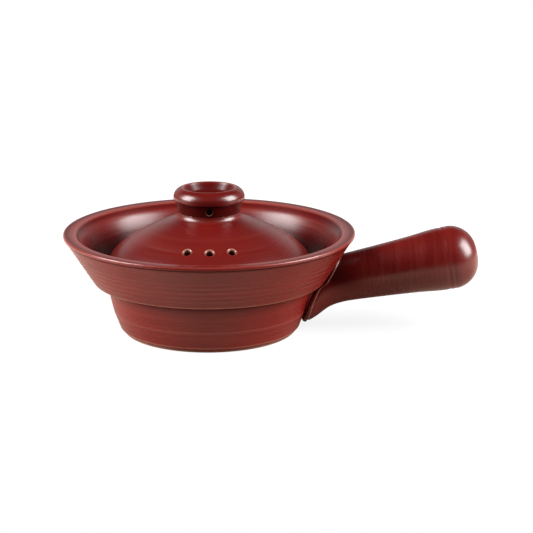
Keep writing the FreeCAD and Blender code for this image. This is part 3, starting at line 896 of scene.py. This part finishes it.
def drill_firing_vent(bm, rings, row, column):
    """The small hole under the handle that lets air out of its hollow."""

    def onto_grip(point):
        """The point of the tube's underside straight above or below."""
        offset = (point - GRIP_START) / MM
        reach = offset.dot(GRIP_AXIS)
        return handle_point(reach, math.pi - math.asin(offset.y / grip_radius(reach)), False)

    edge = block_edge(rings, row, column, FIRING_VENT_ROWS, FIRING_VENT_COLUMNS, HANDLE_SEGMENTS)
    centre = handle_point(FIRING_VENT_REACH, math.pi, False)
    drill(bm, edge, centre, -GRIP_UP, FIRING_VENT_RIM, FIRING_VENT_RADIUS, onto_grip, GRIP_AXIS,
          depth=FIRING_VENT_DEPTH)


def handle_shade(place, ridge):
    """Painted shade at the handle's root, under the flare, left off the ridge of luting clay and its painted
    highlight line.
    """
    reach = (place - GRIP_START).dot(GRIP_AXIS) / MM
    return ROOT_SHADE * fade(place.z, 26 * MM, 40 * MM) * fade(reach, 38, 4) * (1 - ridge)


def make_handle():
    """The closed tube of the handle, with the luting clay that joins it to the pot."""
    bm = bmesh.new()
    wear_and_highlight_layer, _, shade_layer = [bm.verts.layers.float.new(name) for name in LAYERS]
    reaches = grip_reaches()
    columns = []
    for segment in range(HANDLE_SEGMENTS):
        column = []
        for point, ridge in handle_column(FULL_TURN * segment / HANDLE_SEGMENTS, reaches):
            vertex = bm.verts.new(point)
            # The ridge's share goes into the wear layer as a painted highlight line
            vertex[wear_and_highlight_layer] = ridge
            column.append(vertex)
        columns.append(column)
    vent_row = len(columns[0]) - len(reaches) + round((FIRING_VENT_REACH - LUTING_START) / GRIP_STRIDE)
    vent_column = HANDLE_SEGMENTS // 2
    skipped = block_faces(vent_row, vent_column, FIRING_VENT_ROWS, FIRING_VENT_COLUMNS, HANDLE_SEGMENTS)
    for segment, (first, second) in enumerate(zip(columns, columns[1:] + columns[:1])):
        for row in range(len(first) - 1):
            if (row, segment) not in skipped:
                bm.faces.new((first[row], first[row + 1], second[row + 1], second[row]))
    for end in (-1, 0):
        bm.faces.new([column[end] for column in columns])
    drill_firing_vent(bm, list(zip(*columns)), vent_row, vent_column)
    for vertex in bm.verts:
        vertex[shade_layer] = handle_shade(vertex.co, vertex[wear_and_highlight_layer])
    return finish_mesh("handle_grip", bm)


class Nodes:
    """Adds nodes to a tree, each with its inputs linked or set."""

    def __init__(self, tree):
        self.tree = tree

    def add(self, kind, settings=None, **inputs):
        """A node with its settings; an input goes by its name, or as i0, i1 and so on by its place."""
        node = self.tree.nodes.new(kind)
        for name, value in (settings or {}).items():
            setattr(node, name, value)
        for name, value in inputs.items():
            by_place = name[0] == "i" and name[1:].isdigit()
            self.fill(node.inputs[int(name[1:]) if by_place else name], value)
        return node

    def fill(self, socket, value):
        """Links another node's socket to a socket, or sets its value."""
        if isinstance(value, bpy.types.NodeSocket):
            self.tree.links.new(value, socket)
        else:
            socket.default_value = value

    def noise(self, place, scale, detail, roughness):
        """Soft random patches, from 0 to 1."""
        node = self.add("ShaderNodeTexNoise", Vector=place, Scale=scale, Detail=detail, Roughness=roughness)
        return node.outputs["Fac"]

    def spread(self, value, low, high, first=0.0, last=1.0):
        """The value stretched from low..high to first..last, and held there."""
        node = self.add("ShaderNodeMapRange", None, i0=value, i1=low, i2=high, i3=first, i4=last)
        return node.outputs["Result"]

    def math(self, operation, first, second=0.0):
        """The outcome of one operation on two numbers."""
        return self.add("ShaderNodeMath", {"operation": operation}, i0=first, i1=second).outputs[0]

    def mix(self, share, first, second):
        """The first colour where the share is 0, and the second where it is 1."""
        node = self.add("ShaderNodeMix", {"data_type": "RGBA"}, i0=share, i6=first, i7=second)
        return node.outputs[2]

    def attribute(self, name):
        """A number that the mesh carries at each of its vertices."""
        return self.add("ShaderNodeAttribute", {"attribute_name": name}).outputs["Fac"]

    def place(self):
        """The place on the object."""
        return self.add("ShaderNodeTexCoord").outputs["Object"]

    def stretched(self, place, turn, scale):
        """The place turned about Y and stretched along the axes."""
        node = self.add("ShaderNodeMapping", None, Vector=place, Rotation=(0, turn, 0), Scale=scale)
        return node.outputs["Vector"]

    def bump(self, height, strength, distance, below=None):
        """A relief in the shading alone, on top of another one."""
        node = self.add("ShaderNodeBump", None, Height=height, Strength=strength, Distance=distance)
        if below:
            self.fill(node.inputs["Normal"], below)
        return node.outputs["Normal"]

    def background(self, strength):
        """White light from all round."""
        return self.add("ShaderNodeBackground", None, Color=grey(1), Strength=strength).outputs[0]

    def diffuse(self, tone):
        """A matt surface of a tone."""
        return self.add("ShaderNodeBsdfDiffuse", None, Color=tone).outputs[0]

    def seen_or_mirrored(self, seen, mirrored):
        """One shader for what is seen at first hand, and another for what the surfaces mirror."""
        path = self.add("ShaderNodeLightPath").outputs["Is Camera Ray"]
        return self.add("ShaderNodeMixShader", None, Fac=path, i1=mirrored, i2=seen).outputs[0]


def grey(tone):
    """An opaque grey."""
    return (tone, tone, tone, 1.0)


def toned(colour, tone):
    """An opaque colour made lighter or darker by a tone."""
    return (*(part * tone for part in colour[:3]), 1.0)


def make_glaze(slot, tone, along_handle=False):
    """Wine-red glaze over clay, with streaks, dark and light patches, thin edges with painted highlight
    lines, painted shade and bare clay.
    """
    material = bpy.data.materials.new(slot)
    material.use_nodes = True
    nodes = Nodes(material.node_tree)
    shader = material.node_tree.nodes["Principled BSDF"]
    place = nodes.place()
    turn = TILT if along_handle else 0
    streak_scale, patch_scale = HANDLE_SCALES if along_handle else POT_SCALES
    streaks = nodes.noise(nodes.stretched(place, turn, streak_scale), 1.0, 2.0, 0.45)
    patches = nodes.noise(nodes.stretched(place, turn, patch_scale), 1.0, 3.0, 0.55)
    specks = nodes.noise(place, SPECK_SCALE, 2.0, 0.5)
    grain = nodes.noise(place, GRAIN_SCALE, 2.0, 0.6)
    wear_and_highlight, bare, shade = [nodes.attribute(name) for name in LAYERS]

    red, dark, warm = [toned(colour, tone) for colour in (GLAZE_RED, GLAZE_DARK, GLAZE_WARM)]
    deep = nodes.mix(nodes.spread(patches, 0.35, 0.68), dark, red)
    streaked = nodes.mix(nodes.spread(streaks, 0.52, 0.78, 0.0, 0.55), deep, warm)
    speckled = nodes.mix(nodes.spread(specks, 0.66, 0.78, 0.0, 0.35), streaked, SPECK_AND_SHADE_BLACK)
    # Thin glaze lightens the worn edges, which also paints highlight lines along them, broken up by the
    # specks
    worn = nodes.math("MULTIPLY", wear_and_highlight, nodes.spread(specks, 0.3, 0.6, 0.4, 0.75))
    # Painted shade darkens the colour towards black
    shaded = nodes.mix(shade, nodes.mix(worn, speckled, THIN_GLAZE_AND_HIGHLIGHT), SPECK_AND_SHADE_BLACK)
    clay = nodes.mix(nodes.spread(grain, 0.35, 0.7), CLAY_DARK, CLAY_PALE)
    nodes.fill(shader.inputs["Base Color"], nodes.mix(bare, shaded, clay))

    patchy = nodes.spread(patches, 0.3, 0.7, 0.24, 0.30)
    glossy = nodes.math("ADD", patchy, nodes.spread(streaks, 0.4, 0.8, 0.0, 0.06))
    rough = nodes.math("MAXIMUM", glossy, nodes.math("MULTIPLY", bare, CLAY_ROUGHNESS))
    nodes.fill(shader.inputs["Roughness"], rough)
    shader.inputs["IOR"].default_value = GLAZE_INDEX
    # Where shade is painted, the glaze mirrors less light as well
    nodes.fill(shader.inputs["Specular IOR Level"], nodes.spread(shade, 0.0, 0.7, CLEAR_SHINE, SHADED_SHINE))

    waves = nodes.bump(streaks, WAVE_STRENGTH, WAVE_DEPTH)
    peel = nodes.bump(nodes.noise(place, PEEL_SCALE, 2.0, 0.5), PEEL_STRENGTH, PEEL_DEPTH, waves)
    pores = nodes.bump(grain, nodes.math("MULTIPLY", bare, PORE_STRENGTH), PORE_DEPTH, peel)
    nodes.fill(shader.inputs["Normal"], pores)
    return material


def area_light(name, azimuth, elevation, power):
    """A softbox that faces the origin, from an azimuth and an elevation in degrees."""
    data = bpy.data.lights.new(name, "AREA")
    data.shape = "RECTANGLE"
    data.size, data.size_y = LAMP_WIDTH, LAMP_HEIGHT
    data.energy = power
    azimuth, elevation = math.radians(azimuth), math.radians(elevation)
    level = math.cos(elevation)
    towards = Vector((math.sin(azimuth) * level, -math.cos(azimuth) * level, math.sin(elevation)))
    lamp = bpy.data.objects.new(name, data)
    lamp.location = towards * LAMP_DISTANCE
    lamp.rotation_euler = lamp.location.to_track_quat("Z", "Y").to_euler()
    bpy.context.scene.collection.objects.link(lamp)


def make_camera():
    """The camera, which looks down on the pot from the front."""
    data = bpy.data.cameras.new("camera")
    data.lens, data.sensor_width = LENS, SENSOR_WIDTH
    data.clip_start = NEAR_CLIP
    camera = bpy.data.objects.new("camera", data)
    bpy.context.scene.collection.objects.link(camera)
    level, rise = math.cos(CAMERA_ELEVATION), math.sin(CAMERA_ELEVATION)
    camera.location = (0, -CAMERA_DISTANCE * level, CAMERA_DISTANCE * rise)
    ahead = math.cos(CAMERA_PITCH)
    forward = Vector((math.sin(CAMERA_YAW) * ahead, math.cos(CAMERA_YAW) * ahead, -math.sin(CAMERA_PITCH)))
    camera.rotation_euler = forward.to_track_quat("-Z", "Y").to_euler()
    bpy.context.scene.camera = camera


def make_world():
    """A white studio: a soft glow low behind the pot, and faint light from all round."""
    world = bpy.data.worlds.new("studio")
    bpy.context.scene.world = world
    world.use_nodes = True
    world.node_tree.nodes.clear()
    nodes = Nodes(world.node_tree)
    direction = nodes.add("ShaderNodeTexCoord").outputs["Generated"]
    axes = nodes.add("ShaderNodeSeparateXYZ", None, Vector=direction).outputs
    behind = nodes.spread(axes["Y"], *GLOW_BEHIND)
    low = nodes.math("MULTIPLY", nodes.spread(axes["Z"], *GLOW_TOP), nodes.spread(axes["Z"], *GLOW_FOOT))
    glow = nodes.math("MULTIPLY", nodes.math("MULTIPLY", behind, low), BACK_GLOW)
    room = nodes.background(nodes.math("ADD", glow, ROOM_LIGHT))
    surface = nodes.seen_or_mirrored(nodes.background(1.0), room)
    nodes.add("ShaderNodeOutputWorld", None, Surface=surface)


def make_floor():
    """White paper to the eye, which the glaze mirrors in warmer and darker tones."""
    bpy.ops.mesh.primitive_plane_add(size=1, location=FLOOR_PLACE)
    floor = bpy.context.active_object
    floor.name = "floor"
    floor.scale = FLOOR_SCALE
    material = bpy.data.materials.new("paper")
    material.use_nodes = True
    material.node_tree.nodes.clear()
    nodes = Nodes(material.node_tree)
    axes = nodes.add("ShaderNodeSeparateXYZ", None, Vector=nodes.place()).outputs
    beside = nodes.spread(nodes.math("ABSOLUTE", axes["X"]), *FLOOR_BESIDE)
    near = nodes.mix(beside, FLOOR_NEAR, FLOOR_SIDE)
    tone = nodes.mix(nodes.spread(axes["Y"], *FLOOR_NEAR_EDGE), FLOOR_FAR, near)
    glow = nodes.add("ShaderNodeEmission", None, Strength=PAPER_GLOW).outputs[0]
    pale = nodes.add("ShaderNodeAddShader", None, i0=glow, i1=nodes.diffuse(grey(PAPER_TONE))).outputs[0]
    nodes.add("ShaderNodeOutputMaterial", None, Surface=nodes.seen_or_mirrored(pale, nodes.diffuse(tone)))
    floor.data.materials.append(material)


make_camera()
make_world()
make_floor()
area_light("left_softbox", *LEFT_PLACE, LEFT_POWER)
area_light("right_softbox", *RIGHT_PLACE, RIGHT_POWER)

# The pieces: each with its body, the node that it replaces, its slot and its material
pot_glaze = make_glaze("pot_glaze", POT_LIT_TONE)
lid_glaze = make_glaze("lid_glaze", LID_SHADED_TONE)
handle_glaze = make_glaze("handle_glaze", HANDLE_SHADED_TONE, along_handle=True)
pieces = [
    (make_pot(), "pot", "pot_body", "pot_glaze", pot_glaze),
    (make_lid(), "lid", "lid", "lid_glaze", lid_glaze),
    (make_knob(), "lid", "knob", "lid_glaze", lid_glaze),
    (make_handle(), "pot", "handle", "handle_glaze", handle_glaze),
]
for piece, body, node, slot, material in pieces:
    piece.data.materials.append(material)
    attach(piece, body)
    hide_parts(node)

bpy.context.scene.view_settings.view_transform = "Standard"
